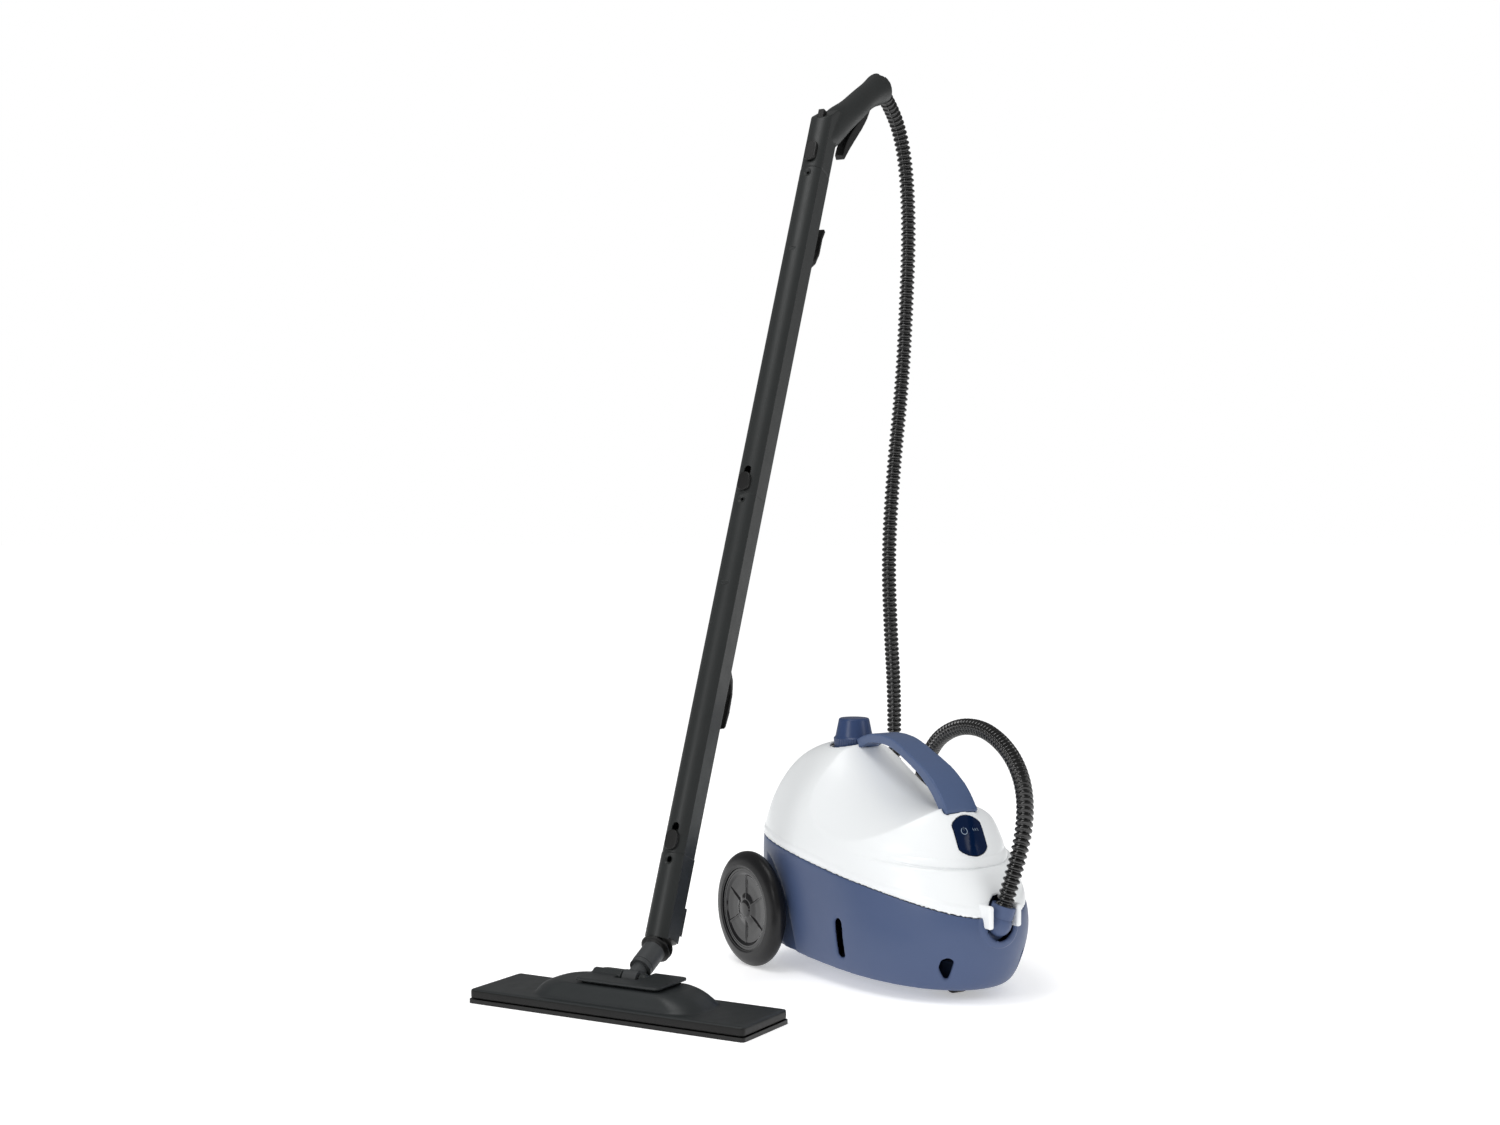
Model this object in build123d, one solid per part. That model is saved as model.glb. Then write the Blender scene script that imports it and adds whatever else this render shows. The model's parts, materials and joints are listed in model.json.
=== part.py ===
"""Canister steam cleaner: a boiler in a two-part casing on wheels, a corrugated hose, a grip with a
trigger, two wand tubes, an adapter with a flexible neck, and a wide floor head."""
import math
import os

from build123d import *

# ---------------------------------------------------------------- driving dimensions (mm, degrees)
AXLE_AT = (144.0, 77.2)          # rear axle centre on the ground plan; the canister's nose points to -Y
WALL = 2.6                       # casing wall
WHEEL_RADIUS = 65.0
WHEEL_FACE = 127.0               # outer face of a wheel, from the centre plane
WHEEL_WIDTH = 20.0
AXLE_RADIUS = 4.0
SEAM_GAP = 0.3                   # joint line between the casing halves

CAP_FORWARD = 37.0               # filler cap, ahead of the rear axle
CAP_TOP = 279.0
CASTER_FORWARD = 240.0
CASTER_TRAIL = 9.0
CASTER_RADIUS = 14.0
BOILER_FORWARD = 86.0
BOILER_RADIUS = 66.0

BALL_AT = (0.0, -303.0, 87.0)    # hose ball joint in the nose, from the rear axle
BALL_RADIUS = 14.0
HOSE_DIAMETER = 19.0

HEAD_AT = (-203.0, -46.8)        # centre of the floor head on the ground plan
HEADING = 28.0                   # the wand leans this way, from +X
HEAD_LENGTH = 336.0
HEAD_DEPTH = 92.0
SOLE_TOP = 4.5
HEAD_TOP = 15.0
HUMP_TOP = 31.0
PIVOT_BACK = 14.0                # neck pivot, behind the head's centre line
PIVOT_HEIGHT = 33.0
NECK_TILT = 62.0                 # from the vertical
ADAPTER_BACK = 70.0              # lower end of the adapter, behind the head's centre line
ADAPTER_HEIGHT = 63.5
WAND_TILT = 21.9                 # from the vertical

TUBE_RADIUS = 18.0               # rounded front of the wand section
TUBE_CREASE = 14.0               # half width where the front meets the flat sides
TUBE_BACK = 17.0                 # flat back, behind the wand axis
TUBE_BACK_HALF = 11.0
TUBE_WALL = 2.0
TUBE_LENGTH = 412.5
ADAPTER_TOP = 91.0
LOWER_TOP = ADAPTER_TOP + TUBE_LENGTH
UPPER_TOP = LOWER_TOP + TUBE_LENGTH
SPIGOT_LENGTH = 27.0
SPIGOT_RADIUS = 10.5
PIPE_RADIUS = 4.0
SLIDER_TRAVEL = 8.0
TRIGGER_PIN_AT = (75.0, 1049.0)  # behind the wand axis, along it
GRIP_TILT = 39.0                 # the grip leaves the barrel at this angle

# Route of the hose, from the ball collar to the grip, seen from the rear axle.
HOSE_ROUTE = [
    (4.8, -306.3, 106.1), (14, -314, 146), (30, -309, 186), (48, -287, 220), (64, -252, 246),
    (79, -206, 264), (91, -154, 274), (99, -98, 269), (107, -44, 244), (123, 2, 192),
    (146, 42, 132), (168, 80, 68), (190, 117, 27), (213, 158, 11.5), (237, 199, 12.5),
    (258, 236, 34), (275, 264, 72), (285, 281, 125), (288, 284, 195), (276, 268, 275),
    (256, 248, 350), (240, 232, 450), (236, 216, 560), (242, 204, 680), (240, 193, 780),
    (240, 188, 867), (234.6, 185, 937.4), (221.5, 178, 983), (199.2, 166.1, 1016.6),
    (169.2, 150.2, 1037.8),
]

# Casing outline at each height: height, rear end, front end, half width. Forward counts from the axle.
HULL = [
    (12, -30, 270, 82), (20, -50, 288, 94), (40, -59, 299, 100), (80, -64, 308, 104.5),
    (120, -66, 291, 104.5), (150, -64, 268, 102), (178, -61, 254, 92), (202, -55, 236, 77),
    (221, -46, 214, 60), (237, -28, 187, 43), (249, 2, 150, 25), (256, 42, 100, 8),
]
FLOOR_LINE = [(-80, 30), (290, 12)]   # underside of the casing: forward, height
# Joint line between the casing halves: forward, height.
SEAM = [(-100, 152), (0, 143), (114, 130), (244, 109), (290, 97), (340, 82)]

# ---------------------------------------------------------------- frames
canister = Pos(AXLE_AT[0], AXLE_AT[1], 0)
heading = math.radians(HEADING)
across = (math.sin(heading), -math.cos(heading), 0)


def leaning(back, height, tilt):
    """Frame above the head's centre line: X along the head, Z tilted back from the vertical."""
    origin = (HEAD_AT[0] + back * math.cos(heading), HEAD_AT[1] + back * math.sin(heading), height)
    lean = math.radians(tilt)
    up = (math.sin(lean) * math.cos(heading), math.sin(lean) * math.sin(heading), math.cos(lean))
    return Plane(origin=origin, x_dir=across, z_dir=up).location


head_frame = leaning(0, 0, 0)
neck_frame = leaning(PIVOT_BACK, PIVOT_HEIGHT, NECK_TILT)
wand_frame = leaning(ADAPTER_BACK, ADAPTER_HEIGHT, WAND_TILT)


def save(name, shape, frame=None):
    """Write one node."""
    placed = frame * shape if frame else shape
    export_step(placed, f"parts/{name}.step")
    print(f"{name}: {placed.volume / 1000:.1f} cm3")


def drum(radius, x_from, x_to, forward, height):
    """Cylinder along X between two x stations."""
    middle = (x_from + x_to) / 2
    return Pos(middle, -forward, height) * Rot(0, 90, 0) * Cylinder(radius, abs(x_to - x_from))


def post(radius, low, high, x=0.0, forward=0.0):
    """Upright cylinder between two heights."""
    return Pos(x, -forward, (low + high) / 2) * Cylinder(radius, high - low)


def side_profile(points, half_width, x=0.0):
    """Straight-sided solid from an outline of (forward, height) points."""
    outline = Polyline([(-forward, height) for forward, height in points], close=True)
    face = Plane.YZ * make_face(outline)
    return Pos(x, 0, 0) * extrude(face, half_width, both=True)


# ---------------------------------------------------------------- casing
def casing_outline(height, rear, front, half, inset):
    """Closed outline at one height: blunt behind, elliptical in front."""
    steps = 24
    middle = rear + 0.52 * (front - rear)
    points = []
    for step in range(steps):
        turn = 2 * math.pi * step / steps
        c, s = math.cos(turn), math.sin(turn)
        power = 2 / 2.1 if s > 0 else 2 / 2.9
        reach = (front - middle if s > 0 else middle - rear) - inset
        x = math.copysign(abs(c) ** power, c) * (half - inset)
        y = -(middle + math.copysign(abs(s) ** power, s) * reach)
        points.append((x, y, height))
    return make_face(Spline(points, periodic=True))


def hull(inset):
    """Solid casing form; an inset one is the room inside the wall."""
    low, high = HULL[0][0], HULL[-1][0]
    faces = []
    for height, rear, front, half in HULL:
        rise = inset * (1 - 2 * (height - low) / (high - low))
        faces.append(casing_outline(height + rise, rear, front, half, inset))
    return loft(faces) - under_floor(inset)


def under_floor(rise):
    """Everything under the casing's sloping underside."""
    (rear, rear_height), (front, front_height) = FLOOR_LINE
    outline = [(rear, rear_height + rise), (front, front_height + rise), (front + 40, -20), (rear, -20)]
    return side_profile(outline, 150)


def valley(extra):
    """Hand recess right across the top: a saddle that falls and widens towards the sides."""
    middle = (191.5, 369.5, 171.5)
    side = (202.5, 576, 426)
    faces = []
    for x, (forward, height, radius) in ((-105, side), (0, middle), (105, side)):
        plane = Plane(origin=(x, -forward, height), x_dir=(0, 1, 0), z_dir=(1, 0, 0))
        faces.append(plane * Circle(radius + extra))
    return loft(faces)


def wheel_wells(extra):
    """Cylindrical pockets at the rear corners for the wheels."""
    edge = 92 - extra
    return [drum(99 + extra, side * edge, side * (edge + 60), -38, 36) for side in (-1, 1)]


def caster_well(extra):
    return post(26 + extra, 0, 38 + extra, forward=CASTER_FORWARD)


def below_seam(drop):
    """Everything under the joint line."""
    line = Spline([(-forward, height - drop) for forward, height in SEAM])
    start, end = line @ 0, line @ 1
    walls = Polyline(end, (end.X, 0), (start.X, 0), start)
    face = Plane.YZ * make_face([line, walls])
    return extrude(face, 150, both=True)


def ball_notch():
    """Opening in the nose for the ball, with a channel for the collar and the hose."""
    x, y, z = BALL_AT
    round_part = Pos(x, y, z) * Rot(90, 0, 0) * Cylinder(18.5, 60)
    channel = Plane(origin=BALL_AT, z_dir=hose_direction()) * extrude(Circle(15), 70)
    forward_part = Plane(origin=(x, y - 20, z), z_dir=hose_direction()) * extrude(Circle(15), 70)
    return round_part + channel + forward_part


def vent_slots():
    """Upright slots, two in the sides and two beside the nose."""
    sides = [Pos(side * 103, -155, 56) * Rot(0, 90, 0) * extrude(SlotOverall(44, 12), 8, both=True)
             for side in (-1, 1)]
    front = [Pos(side * 50, -284, 38) * Rot(90, 0, 0) * Rot(0, 0, 90)
             * extrude(SlotOverall(27, 11), 12, both=True) for side in (-1, 1)]
    return sides + front


SCREW_PLACES = [(-70, 200), (70, 200), (-72, -38), (72, -38)]
outer_form = hull(0)
inner_form = hull(WALL)
inner_room = inner_form - wheel_wells(WALL) - caster_well(WALL)
recessed_room = inner_room - valley(WALL)


def lower_shell():
    shell = outer_form - wheel_wells(0) - caster_well(0) - inner_room
    bosses = [post(6, 10, 100, x, forward) & inner_form for x, forward in SCREW_PLACES]
    shell = (shell + bosses) & below_seam(SEAM_GAP)
    for x, forward in SCREW_PLACES:
        shell = shell - post(2.1, 10, 110, x, forward) - post(4.4, 10, 27, x, forward)
    shell = shell - drum(AXLE_RADIUS + 0.1, -110, 110, 0, WHEEL_RADIUS)
    shell = shell - post(5.4, 30, 60, forward=CASTER_FORWARD)
    shell = shell - ball_notch() - vent_slots()
    gland_hole = Pos(34, 60, 52) * Rot(90, 0, 0) * Cylinder(8, 30)
    return shell - gland_hole


def upper_shell():
    bosses = [post(6, 100.4, 260, x, forward) & recessed_room for x, forward in SCREW_PLACES]
    shell = (outer_form - valley(0)) - recessed_room + bosses
    shell = shell - below_seam(0)
    for x, forward in SCREW_PLACES:
        shell = shell - post(1.9, 90, 124, x, forward)
    shell = shell - carry_handle() - post(27, 200, 270, forward=CAP_FORWARD)
    return shell - lens_prism() - ball_notch()


def carry_handle():
    """Arched strap over the hand recess; both ends run through the casing."""
    top = Spline([(-62, 257.5), (-80, 264.5), (-109, 268), (-140, 263.5), (-166, 253), (-195, 240),
                  (-222, 221), (-241, 197)])
    under = Spline([(-232, 189), (-213, 211), (-189, 230), (-162, 243), (-138, 253), (-109, 257.5),
                    (-83, 255), (-66, 248)])
    sides = [Line(top @ 1, under @ 0), Line(under @ 1, top @ 0)]
    band = extrude(Plane.YZ * make_face([top, under] + sides), 30, both=True)
    plan = Polyline([(-13, -50), (13, -50), (21, -245), (-21, -245)], close=True)
    return band & extrude(make_face(plan), 300)


LENS_PLANE = Plane(origin=(0, -257, 174), x_dir=(1, 0, 0), z_dir=(0, -0.894, 0.447))


def lens_prism():
    """Outline of the control lens, cut through the pod's front."""
    outline = Circle(23) & Rectangle(37, 60)
    return LENS_PLANE * extrude(outline, 12, both=True)


def control_lens():
    return (lens_prism() & outer_form) - hull(1.8)


def indicator_board():
    return LENS_PLANE * Pos(0, 0, -13) * Box(30, 30, 1.6)


def indicator_lamps():
    bulbs = [LENS_PLANE * Pos(x, 8, -9.2) * Cylinder(2.5, 6) for x in (-8, 8)]
    return Compound(bulbs)


# ---------------------------------------------------------------- boiler and steam way
def boiler_lower():
    cup = post(BOILER_RADIUS, 50, 104, forward=BOILER_FORWARD)
    cup = fillet(cup.edges().group_by(Axis.Z)[0], 12)
    flange = post(BOILER_RADIUS + 5, 102, 104, forward=BOILER_FORWARD)
    legs = [post(5, 18, 54, x, BOILER_FORWARD + y) for x in (-36, 36) for y in (-36, 36)]
    cup = cup + flange + legs - post(BOILER_RADIUS - 1.5, 55, 110, forward=BOILER_FORWARD)
    return cup - under_floor(WALL + 0.1)


def boiler_upper():
    dome = post(BOILER_RADIUS, 104, 158, forward=BOILER_FORWARD)
    dome = fillet(dome.edges().group_by(Axis.Z)[-1], 14)
    dome = dome + post(BOILER_RADIUS + 5, 104, 106, forward=BOILER_FORWARD)
    dome = dome - post(BOILER_RADIUS - 1.5, 104, 142, forward=BOILER_FORWARD)
    dome = dome - post(BOILER_RADIUS - 15, 104, 156.5, forward=BOILER_FORWARD)
    dome = dome - post(13, 150, 170, forward=CAP_FORWARD)
    return dome - post(2.2, 150, 170, forward=130)


def filler_neck():
    tube = post(17, 158, 240, forward=CAP_FORWARD) - post(13, 150, 250, forward=CAP_FORWARD)
    return tube + (post(21, 158, 160.5, forward=CAP_FORWARD) - post(13, 150, 170, forward=CAP_FORWARD))


def filler_dish():
    """Dished collar that closes the gap between the casing and the neck."""
    dish = post(26.8, 232, 246, forward=CAP_FORWARD) - post(25.3, 234, 250, forward=CAP_FORWARD)
    return dish - post(17.2, 225, 250, forward=CAP_FORWARD)


def heating_element():
    ring = Pos(0, -BOILER_FORWARD, 45.4) * Torus(40, 4)
    ends = [Pos(x, -BOILER_FORWARD - 46, 45.4) * Rot(90, 0, 0) * Cylinder(2.5, 14) for x in (-6, 6)]
    return ring + ends


def disc_on_boiler(x, forward, radius):
    return post(radius, 158, 166, x, forward) + post(2, 166, 172, x, forward)


def steam_valve():
    body = Pos(0, -180, 70) * Box(30, 32, 26)
    coil = Pos(0, -180, 96.5) * Cylinder(12, 27)
    return body + coil - Pos(0, -180, 70) * Rot(90, 0, 0) * Cylinder(2, 40)


def steam_pipe():
    """Copper pipe from the boiler's crown to the valve."""
    path = FilletPolyline((0, -130, 156.5), (0, -130, 174), (26, -130, 174), (26, -180, 160),
                          (26, -180, 70), (15, -180, 70), radius=5)
    start = Plane(origin=path @ 0, z_dir=path % 0)
    return sweep(start * Circle(2.2), path=path)


def valve_pipe():
    """Pipe from the valve to the hose socket."""
    path = FilletPolyline((0, -196, 70), (0, -236, 70), (0, -250, 87), (0, -279, 87), radius=8)
    start = Plane(origin=path @ 0, z_dir=path % 0)
    return sweep(start * Circle(2.2), path=path)


def hose_socket():
    x, y, z = BALL_AT
    cup = Pos(x, -289, z) * Rot(90, 0, 0) * Cylinder(18.2, 20)
    return cup - Pos(x, y, z) * Sphere(BALL_RADIUS + 0.05) - Pos(x, y, z + 20) * Box(40, 40, 32)


def hose_direction():
    return (Vector(*HOSE_ROUTE[1]) - Vector(*HOSE_ROUTE[0])).normalized()


def hose_ball():
    """Ball with a collar that holds the hose end."""
    start = Vector(*HOSE_ROUTE[0])
    way = hose_direction()
    collar = Plane(origin=start, z_dir=way) * extrude(Circle(13), -13)
    ball = Pos(*BALL_AT) * Sphere(BALL_RADIUS)
    bore = Plane(origin=start, z_dir=way) * extrude(Circle(5), -30)
    return ball + collar - bore


def cable_gland():
    """Inlet for the mains lead in the rear wall; the lead itself is left out."""
    bush = Pos(34, 60, 52) * Rot(90, 0, 0) * Cylinder(7.9, 14)
    rim = Pos(34, 68, 52) * Rot(90, 0, 0) * Cylinder(10, 4)
    bore = Pos(34, 60, 52) * Rot(90, 0, 0) * Cylinder(4, 40)
    return (bush + rim - bore) - outer_form + (bush - bore)


def shell_screws():
    screws = []
    for x, forward in SCREW_PLACES:
        screws.append(post(1.9, 24, 122, x, forward) + post(4.2, 23, 27, x, forward))
    return Compound(screws)


# ---------------------------------------------------------------- filler cap
def cap_knob():
    """Tapered knob with grip ribs round its foot, and the threaded plug under it."""
    cone = Solid.make_cone(24, 17.5, CAP_TOP - 244.2)
    knob = Pos(0, -CAP_FORWARD, 244.2) * cone
    knob = fillet(knob.edges().group_by(Axis.Z)[-1], 1.6)
    plug = post(12.6, 229, 245, forward=CAP_FORWARD)
    return knob + plug - post(8, 220, 262, forward=CAP_FORWARD)


def cap_seal():
    return post(16.6, 240.3, 243.9, forward=CAP_FORWARD) - post(12.9, 235, 250, forward=CAP_FORWARD)


# ---------------------------------------------------------------- wheels
def turned(profile, forward, height, side):
    """Ring turned about the axle from an outline of (distance outwards, radius) points."""
    face = make_face(Polyline([(side * x, radius, 0) for x, radius in profile], close=True))
    return Pos(0, -forward, height) * revolve(face, Axis.X)


def tyre(side):
    inner = WHEEL_FACE - WHEEL_WIDTH
    profile = [(inner, 46), (inner, 59), (inner + 3, 63.4), (inner + 6, WHEEL_RADIUS),
               (WHEEL_FACE - 8, WHEEL_RADIUS), (WHEEL_FACE - 4, 63.6), (WHEEL_FACE - 1, 60),
               (WHEEL_FACE, 56), (WHEEL_FACE, 49), (WHEEL_FACE - 2, 46)]
    return turned(profile, 0, WHEEL_RADIUS, side)


def hub(side):
    profile = [(93, AXLE_RADIUS + 0.06), (93, 9), (108, 9), (112, 14), (112, 40), (107.5, 42),
               (107.5, 46), (125, 46), (125, 43.5), (120, 43.5), (120, 12), (117, 10),
               (117, AXLE_RADIUS + 0.06)]
    return turned(profile, 0, WHEEL_RADIUS, side)


def hub_cap(side):
    profile = [(124.6, 0), (124.6, 8), (123.6, 10), (122.6, 30), (123.4, 41), (123.4, 43.4),
               (120, 43.4), (120, 12.5), (122, 9), (122, 0)]
    return turned(profile, 0, WHEEL_RADIUS, side)


def axle_clips():
    clips = [drum(7.5, side * 117.4, side * 119, 0, WHEEL_RADIUS)
             - drum(AXLE_RADIUS, side * 110, side * 125, 0, WHEEL_RADIUS) for side in (-1, 1)]
    return Compound(clips)


def caster_fork():
    """Swivel fork with its stem."""
    cheeks = [Pos(side * 10.5, -(CASTER_FORWARD - CASTER_TRAIL / 2), 22) * Box(3, 22, 24)
              for side in (-1, 1)]
    crown = post(15, 31, 34, forward=CASTER_FORWARD)
    fork = crown + [cheek & post(22, 8, 34, forward=CASTER_FORWARD) for cheek in cheeks]
    fork = fork + post(5, 33, 58, forward=CASTER_FORWARD)
    return fork - drum(2, -20, 20, CASTER_FORWARD - CASTER_TRAIL, CASTER_RADIUS)


def caster_wheel():
    roller = drum(CASTER_RADIUS, -8, 8, CASTER_FORWARD - CASTER_TRAIL, CASTER_RADIUS)
    roller = fillet(roller.edges(), 2)
    return roller - drum(2.06, -20, 20, CASTER_FORWARD - CASTER_TRAIL, CASTER_RADIUS)


def caster_axle():
    return drum(2, -12, 12, CASTER_FORWARD - CASTER_TRAIL, CASTER_RADIUS)


# ---------------------------------------------------------------- wand
def wand_section(grow=0.0):
    """Rounded front, flat sides that close in towards a narrow flat back."""
    radius = TUBE_RADIUS + grow
    crease = TUBE_CREASE + grow * 0.8
    crease_y = -math.sqrt(radius ** 2 - crease ** 2)
    back, half = TUBE_BACK + grow, TUBE_BACK_HALF + grow * 0.9
    front = ThreePointArc((-crease, crease_y), (0, -radius), (crease, crease_y))
    rest = Polyline((crease, crease_y), (half, back), (-half, back), (-crease, crease_y))
    face = make_face([front, rest])
    return fillet(face.vertices().group_by(Axis.Y)[-1], 2.5)


def hollow_length(low, high, grow=0.0):
    """Open length of the wand section, with a bulkhead under its top."""
    body = Pos(0, 0, low) * extrude(wand_section(grow), high - low)
    room = Pos(0, 0, low - 1) * extrude(wand_section(grow - TUBE_WALL), high - low - 1.5)
    return body - room


def add_spigot(body, seam):
    """Round spigot that goes into the piece above."""
    spigot = Pos(0, 0, seam + SPIGOT_LENGTH / 2) * Cylinder(SPIGOT_RADIUS, SPIGOT_LENGTH)
    bore = Pos(0, 0, seam) * Cylinder(PIPE_RADIUS, 80)
    return body + spigot - bore


def catch_recess(seam):
    return Pos(0, -TUBE_RADIUS - 5.4, seam - 7.5) * Sphere(7.5)


def latch_slot(seam, rise, length):
    """Narrow upright slot in the front wall, where the latch's stem travels."""
    slot = extrude(SlotOverall(length, 8.4), 6, both=True)
    return Pos(0, -TUBE_RADIUS, seam + rise + length / 2) * Rot(90, 0, 0) * Rot(0, 0, 90) * slot


def centre_mark(seam):
    half_disc = Circle(4.5) & Pos(0, -4.5) * Rectangle(9, 9)
    return Pos(0, -TUBE_RADIUS, seam - 105) * Rot(90, 0, 0) * extrude(half_disc, 0.7, both=True)


def wand_tube(low, high):
    tube = add_spigot(hollow_length(low, high), high)
    return tube - catch_recess(high) - latch_slot(low, 3, 30) - centre_mark(high)


def adapter():
    body = add_spigot(hollow_length(0, ADAPTER_TOP, 0.5), ADAPTER_TOP)
    block = Pos(0, TUBE_BACK + 6.5, 25) * Box(11, 13, 30)
    return body + block - catch_recess(ADAPTER_TOP)


def latch(seam, rise, button_length, stem_length):
    """Thumb button on the tube's front, with a stem and a foot behind the wall."""
    middle = seam + rise + button_length / 2
    upright = Pos(0, 0, middle) * Rot(90, 0, 0) * Rot(0, 0, 90)
    button = upright * Pos(0, 0, 13) * extrude(SlotOverall(button_length, 14.6), 9)
    button = button - Pos(0, 0, middle - 40) * extrude(wand_section(0.3), 80)
    stem_middle = middle + (stem_length - button_length) / 2 + 1.5
    stem = Pos(0, -16, stem_middle) * Rot(90, 0, 0) * Rot(0, 0, 90)
    stem = stem * extrude(SlotOverall(stem_length, 7.6), 3, both=True)
    foot = Pos(0, -12.4, stem_middle) * Box(10, 1.4, stem_length)
    return button + stem + foot


def cord_hook(points):
    """Flat hook on the tube's back from an outline of (behind the axis, along it) points."""
    outline = Plane.YZ * make_face(Polyline(points, close=True))
    return extrude(outline, 5, both=True)


def hook_upper():
    points = [(TUBE_BACK, 800), (22, 800), (33, 813), (38, 828), (38, 848), (41, 860), (37, 862),
              (34, 850), (34, 830), (30, 819), (24, 813), (TUBE_BACK, 813)]
    return cord_hook(points)


def hook_lower():
    points = [(TUBE_BACK, 312), (22, 312), (33, 299), (38, 284), (39, 262), (37, 246), (33, 242),
              (34, 262), (34, 282), (30, 293), (24, 299), (TUBE_BACK, 299)]
    return cord_hook(points)


def inner_pipe(low, high):
    return Pos(0, 0, (low + high) / 2) * (Cylinder(PIPE_RADIUS, high - low) - Cylinder(2.4, high - low))


def joint_seals():
    rings = [Pos(0, 0, seam + SPIGOT_LENGTH + 1.6) * (Cylinder(8, 3) - Cylinder(PIPE_RADIUS, 3))
             for seam in (ADAPTER_TOP, LOWER_TOP, UPPER_TOP)]
    return Compound(rings)


# ---------------------------------------------------------------- grip
def grip_station(reach, rise, half_width, half_height):
    """Elliptical section across the grip; reach runs along it, rise is its height in the side view."""
    tilt = math.radians(GRIP_TILT)
    along = rise * math.sin(tilt) + reach * math.cos(tilt)
    behind = -rise * math.cos(tilt) + reach * math.sin(tilt)
    plane = Plane(origin=(0, behind, along), x_dir=(1, 0, 0), z_dir=(0, math.sin(tilt), math.cos(tilt)))
    return plane * Ellipse(half_width, half_height)


def grip_form(shrink, first, last):
    stations = [(748, 606, 13, 15), (775, 607, 14.5, 20.5), (800, 608.5, 15, 19.5), (830, 608, 15.5, 17),
                (860, 608.5, 15, 16.3), (886, 608, 14.6, 16.4), (906, 606, 16.5, 18.6), (920, 605, 18, 20)]
    return loft([grip_station(reach, rise, half_width - shrink, half_height - shrink)
                 for reach, rise, half_width, half_height in stations[first:last]])


def barrel_form(grow, low):
    barrel = Pos(0, 0, low) * extrude(wand_section(grow), 1004 - low)
    cutter = Pos(0, -22, 977 + grow) * Rot(45, 0, 0) * Pos(0, 0, 30) * Box(60, 90, 60)
    return barrel - cutter


def trigger():
    """Curved blade from its pivot inside the grip to its free tip."""
    outer = Spline([(50, 962), (60, 985), (71, 1007), (81, 1028), (88, 1054)])
    inner = Spline([(72, 1056), (71, 1034), (61, 1014), (50, 992), (45, 966)])
    face = make_face([outer, Line(outer @ 1, inner @ 0), inner, Line(inner @ 1, outer @ 0)])
    return extrude(Plane.YZ * face, 6, both=True) - trigger_pin(1.55, 20)


def trigger_slot():
    """Room in the grip for the blade as it swings."""
    outline = [(43, 960), (42, 996), (55.5, 1017), (67.5, 1036), (70, 1058.5), (92, 1058.5), (92, 1020),
               (66, 960)]
    return extrude(Plane.YZ * make_face(Polyline(outline, close=True)), 6.5, both=True)


def trigger_pin(radius, half_length):
    y, z = TRIGGER_PIN_AT
    return Pos(0, y, z) * Rot(0, 90, 0) * Cylinder(radius, 2 * half_length)


def grip_body():
    body = barrel_form(0, UPPER_TOP) + grip_form(0, 0, 8)
    room = barrel_form(-TUBE_WALL, UPPER_TOP - 1) + grip_form(2.6, 0, 7)
    body = body - room - grip_sleeve_bore() - trigger_slot()
    body = body - latch_slot(UPPER_TOP, 8, 22) - lock_opening()
    return body - trigger_pin(1.5, 12.5)


def grip_half(side):
    half = grip_body() & Pos(side * 50, 50, 1000) * Box(100, 400, 400)
    return half


def sleeve_plane():
    """Plane across the hose where it leaves the grip, in the wand's own frame."""
    end = Vector(*HOSE_ROUTE[-1]) + Vector(AXLE_AT[0], AXLE_AT[1], 0)
    before = Vector(*HOSE_ROUTE[-2]) + Vector(AXLE_AT[0], AXLE_AT[1], 0)
    world = Plane(origin=end, z_dir=(before - end).normalized())
    local = wand_frame.inverse() * world.location
    return Plane(local)


def grip_sleeve_bore():
    return sleeve_plane() * Pos(0, 0, -4) * Cylinder(12.3, 36)


def hose_sleeve():
    """Bush that holds the hose in the grip's end."""
    plane = sleeve_plane()
    return plane * (Pos(0, 0, -7) * Cylinder(12, 14) - Pos(0, 0, -7) * Cylinder(5, 14))


def lock_opening():
    return Pos(0, -11, 980) * Box(8, 8, 40)


def trigger_lock():
    """Square push knob on the barrel's shoulder."""
    knob = Pos(0, -11, 982) * Box(7.4, 7.4, 26)
    return chamfer(knob.edges().group_by(Axis.Z)[-1], 0.6)


def micro_switch():
    return Pos(0, 42, 1012) * Rot(-GRIP_TILT, 0, 0) * Box(8, 10, 20)


# ---------------------------------------------------------------- neck and floor head
def bellows():
    """Flexible sleeve from the collar's top into the adapter's lower end."""
    top = neck_frame.inverse() * wand_frame * Pos(0, 0, 8)
    path = Spline([(0, 0, 46), top.position],
                  tangents=[(0, 0, 1), Vector(Plane(top).z_dir)], tangent_scalars=[0.7, 0.7])
    start = Plane(origin=path @ 0, z_dir=path % 0)
    return sweep(start * (Circle(13.4) - Circle(9)), path=path)


def neck_collar():
    collar = Pos(0, 0, 33.6) * Cylinder(12.5, 24.8)
    return collar - Pos(0, 0, 33.6) * Cylinder(6.06, 30)


def neck_yoke():
    """Fork end on the pivot pin, with the spindle that the collar turns on."""
    knuckle = Rot(0, 90, 0) * Cylinder(9, 17)
    shank = Pos(0, 0, 12.4) * Cylinder(8.5, 17)
    shoulder = Pos(0, 0, 18.4) * Cylinder(12.3, 5)
    spindle = Pos(0, 0, 31) * Cylinder(6, 24)
    return knuckle + shank + shoulder + spindle - Rot(0, 90, 0) * Cylinder(3.05, 40)


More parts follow.
